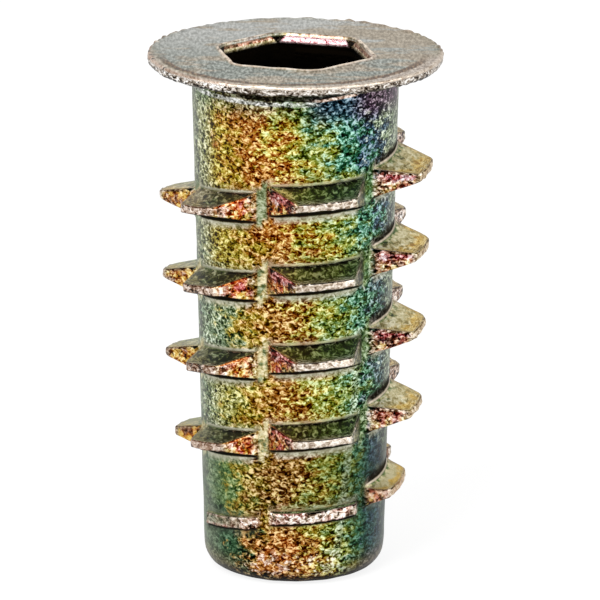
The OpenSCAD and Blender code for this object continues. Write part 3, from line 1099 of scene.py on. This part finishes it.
    def lead_in(self):
        """Rust with a yellow foot, cracked pink at the back, and painted shade in the socket's corners."""
        corner = ((self.around - CORNER_ANGLE) / SOCKET_STEP + 7.5).math("FRACT") - 0.5
        corner = corner.math("ABSOLUTE") - (self.up + 0.4) * 0.25
        crack = (self.dents - 0.5).math("ABSOLUTE")
        return self.over(
            "umber",
            (self.blotch.step(0.42, 0.56), self.mix(0.4, "ember", "crest")),
            (self.on_right * 0.6, "umber"),
            (self.up.fall(-0.27, -0.19) * 0.8, self.mix(0.5, "leaf", "crest")),
            (self.mouth_back, self.mix(crack.step(0.005, 0.03), "wine", "blush")),
            # Painted shade in the socket's corners
            (corner.fall(0.0, 0.03), "soot"),
        )

    def below_flange(self, colour_):
        """Adds the flange's painted shadow, and along its lower edge painted highlights: a bright line and a
        pale ring.
        """
        dents = self.dents
        # Painted highlights just below the flange's painted shadow
        line = self.up.band(-1.51, -1.43, -1.27, -1.21) * self.around.fall(4, 16)
        return self.over(
            colour_,
            (self.under_flange, "soot"),
            (self.ring * dents.step(0.38, 0.46) * 0.85, self.mix(0.25, "crest", "ember")),
            (line * (0.35 + dents.step(0.42, 0.5) * 0.5), "bright"),
        )

    def tip(self, colour_):
        """Adds orange patches, brown sides, a scuffed ring and painted shade at the foot."""
        z, facing = self.z, self.facing
        ruddy = z.fall(2.2, 3) * self.around.fall(2, 20) * self.blotch.step(0.42, 0.55)
        scuffed = z.band(0.4, 0.7, 1.3, 2) * self.dents.step(0.5, 0.58)
        return self.over(
            colour_,
            (ruddy * facing.step(0.6, 0.9) * 0.45, "ember"),
            (z.fall(0.5, 1.6) * facing.fall(0.5, 0.8) * 0.5, "umber"),
            (scuffed * facing.step(0.6, 0.9) * 0.35, "crest"),
            # Painted shade at the foot
            (z.fall(0.2, 0.9) * 0.95, "soot"),
        )

    def contrast(self):
        """How strongly the grain shows: more on the rim, and less on flanks, feet, gaps and bare metal."""
        masks, z, facing = self.masks, self.z, self.facing
        outer = self.near_left + self.far_right
        calm = 1 - z.fall(6, 8) * facing.fall(0.45, 0.8) * 0.6
        calm = calm - z.band(3.6, 4.2, 7, 8) * self.around.step(5, 20) * facing.step(0.45, 0.8) * 0.3
        weakened = [
            (self.limb, 0.25), (self.plate, 0.6 + self.y.step(-2, 4) * 0.15), (masks["foot"], 0.7),
            (self.worn, 0.4 - self.faint * 0.55 - outer * 0.2), (self.gap, 0.6),
            (masks["upper"] * self.side, 0.35), (masks["under"], 0.8), (masks["lead_in"], 0.4),
        ]
        strength = calm * (1 + self.rim * 0.8) * self.finish.grain_contrast
        for where, share_ in weakened:
            strength = strength * (1 - where * share_)
        return strength

    def grained(self, colour_):
        """Adds the grain, which raises a colour to the power 2^(-level contrast).

        The power is above 1 in the pits, which gives a deeper colour, and below 1 on the high grains,
        which gives a paler one. The deepest pits get painted shade and the highest grains painted glints.
        """
        level, contrast = self.level, self.contrast()
        power = self.math("POWER", 2.0, level * contrast * -1)
        colour_ = self.node("ShaderNodeGamma", {"Color": colour_, "Gamma": power})[0]
        # Painted shade in the deepest pits and painted glints on the highest grains
        pits = ((level * -1 - 0.2) * 1.2).clamped() * contrast * 0.4
        glints = ((level - 0.3) * 1.4).clamped() * contrast * 0.16
        return self.mix(glints, self.mix(pits, colour_, (0, 0, 0)), (1, 1, 1), "DODGE")

    def colour(self):
        """The colour of the whole casting."""
        masks = self.masks
        # Painted highlight along the edge of the socket's mouth, weaker at the back
        lip = self.up.step(0.01, 0.07) * (1 - masks["lead_in"]) * (0.8 - self.mouth_back * 0.5)
        colour_ = self.over(
            self.feet(self.shaded_barrel()),
            (masks["upper"], self.upper_flank()),
            (masks["end_face"], self.end_face()),
            (self.worn, self.bare_metal()),
            (self.plate * (1 - self.worn), self.top_face()),
            (lip, self.lip()),
            (masks["lead_in"], self.lead_in()),
            # Painted shade on the blades' undersides
            (masks["under"], "soot"),
        )
        colour_ = self.grained(self.tip(self.below_flange(colour_)))
        # Painted shade inside the socket and the hole
        return self.mix(masks["inside"], colour_, "soot")

    def hidden(self):
        """How far a point lies in deep shade: above or under a blade, under the flange or at the foot."""
        above_blade = self.hollow * self.side * self.on_right * (1 - self.masks["foot"]) * 0.95
        under_blade = self.masks["under"] * 0.9
        under_flange = self.under_flange * (1 - self.ring) * 0.8
        foot = self.z.fall(0.1, 0.6) * 0.75
        return above_blade.at_least(under_blade).at_least(under_flange).at_least(foot)


def chromate_material(finish):
    """The coat as a metal with fine bumps, and a plain black of painted shade where it lies in deep shade.
    """
    material = bpy.data.materials.new("chromate_coat")
    material.use_nodes = True
    coat = Coat(material.node_tree, finish)
    grain, under = coat.grain, coat.masks["under"]
    bump = {"Strength": 0.5, "Distance": 0.04 * MM, "Height": grain + coat.plate * grain * -0.7}
    metal = coat.node("ShaderNodeBsdfPrincipled", {
        "Base Color": coat.colour(),
        # The undersides lose their shine and grow rough, so that their painted shade stays dark
        "Metallic": finish.metallic - under * 0.9,
        "Roughness": (finish.roughness + (grain - 0.5) * 0.5 + under * 0.4).clamped(),
        "Normal": coat.node("ShaderNodeBump", bump)["Normal"],
    })
    shade = coat.node("ShaderNodeBsdfPrincipled", {
        "Base Color": coat.rgba("soot"), "Roughness": 1.0, "Specular IOR Level": 0.0,
    })
    mixed = coat.node("ShaderNodeMixShader", {0: coat.hidden(), 1: metal["BSDF"], 2: shade["BSDF"]})
    coat.node("ShaderNodeOutputMaterial", {"Surface": mixed[0]})
    return material


# ---------------------------------------------------------------- floor, light and camera


def floor_material(setting):
    """A pale floor that shows the insert's shadow, and otherwise looks nearly white."""
    material = bpy.data.materials.new("pale_floor")
    material.use_nodes = True
    graph = Graph(material.node_tree)
    paths = graph.node("ShaderNodeLightPath")
    seen = paths["Is Camera Ray"].at_least(paths["Is Glossy Ray"])
    level = setting.floor_white
    plain = graph.node("ShaderNodeBsdfDiffuse", {"Color": (level, level, level, 1)})["BSDF"]
    glow = graph.node("ShaderNodeEmission", {"Color": (1, 1, 1, 1), "Strength": setting.floor_glow})[0]
    mixed = graph.node("ShaderNodeMixShader", {0: seen * setting.glow_share, 1: plain, 2: glow})[0]
    graph.node("ShaderNodeOutputMaterial", {"Surface": mixed})
    return material


def make_floor(setting):
    """A square floor just under the tip."""
    half = setting.floor_size / 2
    mesh = bpy.data.meshes.new("floor")
    level = -0.02 * MM
    corners = [(-half, -half, level), (half, -half, level), (half, half, level), (-half, half, level)]
    mesh.from_pydata(corners, [], [(0, 1, 2, 3)])
    mesh.materials.append(floor_material(setting))
    floor = bpy.data.objects.new("floor", mesh)
    bpy.context.scene.collection.objects.link(floor)
    return floor


def make_light(name, power, size, place, aim):
    """A square area light at a place, turned to a point."""
    lamp = bpy.data.lights.new(name, "AREA")
    lamp.shape = "SQUARE"
    lamp.size = size
    lamp.energy = power
    light = bpy.data.objects.new(name, lamp)
    bpy.context.scene.collection.objects.link(light)
    turn_to(light, place, aim)


def turn_to(thing, place, aim, roll=0.0):
    """Puts a lamp or camera at a place and turns it to a point."""
    direction = Vector(aim) - Vector(place)
    thing.rotation_mode = "QUATERNION"
    thing.location = place
    thing.rotation_quaternion = direction.to_track_quat("-Z", "Y") @ Quaternion((0, 0, 1), roll)


def make_world(setting):
    """White to the camera, and dimmer as light and in reflections."""
    world = bpy.data.worlds.new("studio")
    bpy.context.scene.world = world
    world.use_nodes = True
    graph = Graph(world.node_tree)
    paths = graph.node("ShaderNodeLightPath")
    seen = paths["Is Camera Ray"].at_least(paths["Is Transmission Ray"])
    strength = seen + (1 - seen) * setting.sky
    background = graph.node("ShaderNodeBackground", {"Color": (1, 1, 1, 1), "Strength": strength})[0]
    graph.node("ShaderNodeOutputWorld", {"Surface": background})


def make_camera(setting):
    """A long lens in front of the insert and a little above it."""
    data = bpy.data.cameras.new("camera")
    data.lens = setting.focal_length
    data.sensor_width = 36
    data.clip_start = 0.01
    data.shift_x = setting.shift_right
    data.shift_y = setting.shift_up
    camera = bpy.data.objects.new("camera", data)
    bpy.context.scene.collection.objects.link(camera)
    bpy.context.scene.camera = camera
    distance, elevation = setting.camera_distance, setting.camera_elevation
    aim = (0, 0, setting.aim_height)
    place = (0, -distance * math.cos(elevation), setting.aim_height + distance * math.sin(elevation))
    turn_to(camera, place, aim, setting.camera_roll)


# ---------------------------------------------------------------- operators and panel


class INSERT_OT_casting(bpy.types.Operator):
    """Make the casting with its blades, socket, thread and chromate coat"""

    bl_idname = "insert.casting"
    bl_label = "Casting"

    def execute(self, context):
        scene = context.scene
        piece = make_casting(scene.insert_shape)
        piece.data.materials.append(chromate_material(scene.insert_finish))
        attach(piece, BODY)
        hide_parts(NODE)
        return {"FINISHED"}


class INSERT_OT_stage(bpy.types.Operator):
    """Make the floor, the lights, the surroundings and the camera"""

    bl_idname = "insert.stage"
    bl_label = "Stage"

    def execute(self, context):
        scene = context.scene
        setting = scene.insert_setting
        make_floor(setting)
        middle = (0, 0, HEIGHT / 2)
        make_light("key", setting.key_power, size=0.25, place=(-0.18, -0.3, 0.34), aim=middle)
        make_light("fill", setting.fill_power, size=0.3, place=(0.34, -0.2, 0.16), aim=middle)
        make_world(setting)
        make_camera(setting)
        scene.view_settings.view_transform = "Standard"
        return {"FINISHED"}


class INSERT_PT_panel(bpy.types.Panel):
    """Lists the sizes, the finish and the setting, and makes the parts"""

    bl_idname = "INSERT_PT_panel"
    bl_label = "Threaded insert"
    bl_space_type = "VIEW_3D"
    bl_region_type = "UI"
    bl_category = "Insert"

    def draw(self, context):
        scene = context.scene
        for operator in (INSERT_OT_stage, INSERT_OT_casting):
            self.layout.operator(operator.bl_idname)
        for group in (scene.insert_shape, scene.insert_finish, scene.insert_setting):
            box = self.layout.box()
            for name in group.bl_rna.properties.keys():
                if name not in ("rna_type", "name"):
                    box.prop(group, name)


CLASSES = (InsertShape, InsertFinish, InsertSetting, INSERT_OT_casting, INSERT_OT_stage, INSERT_PT_panel)


def register():
    """Registers the classes and hangs the property groups on the scene."""
    for cls in CLASSES:
        bpy.utils.register_class(cls)
    bpy.types.Scene.insert_shape = bpy.props.PointerProperty(type=InsertShape)
    bpy.types.Scene.insert_finish = bpy.props.PointerProperty(type=InsertFinish)
    bpy.types.Scene.insert_setting = bpy.props.PointerProperty(type=InsertSetting)


def unregister():
    """Undoes register."""
    del bpy.types.Scene.insert_setting
    del bpy.types.Scene.insert_finish
    del bpy.types.Scene.insert_shape
    for cls in reversed(CLASSES):
        bpy.utils.unregister_class(cls)


def main():
    """Makes everything in order."""
    register()
    bpy.ops.insert.stage()
    bpy.ops.insert.casting()


if __name__ == "__main__":
    main()
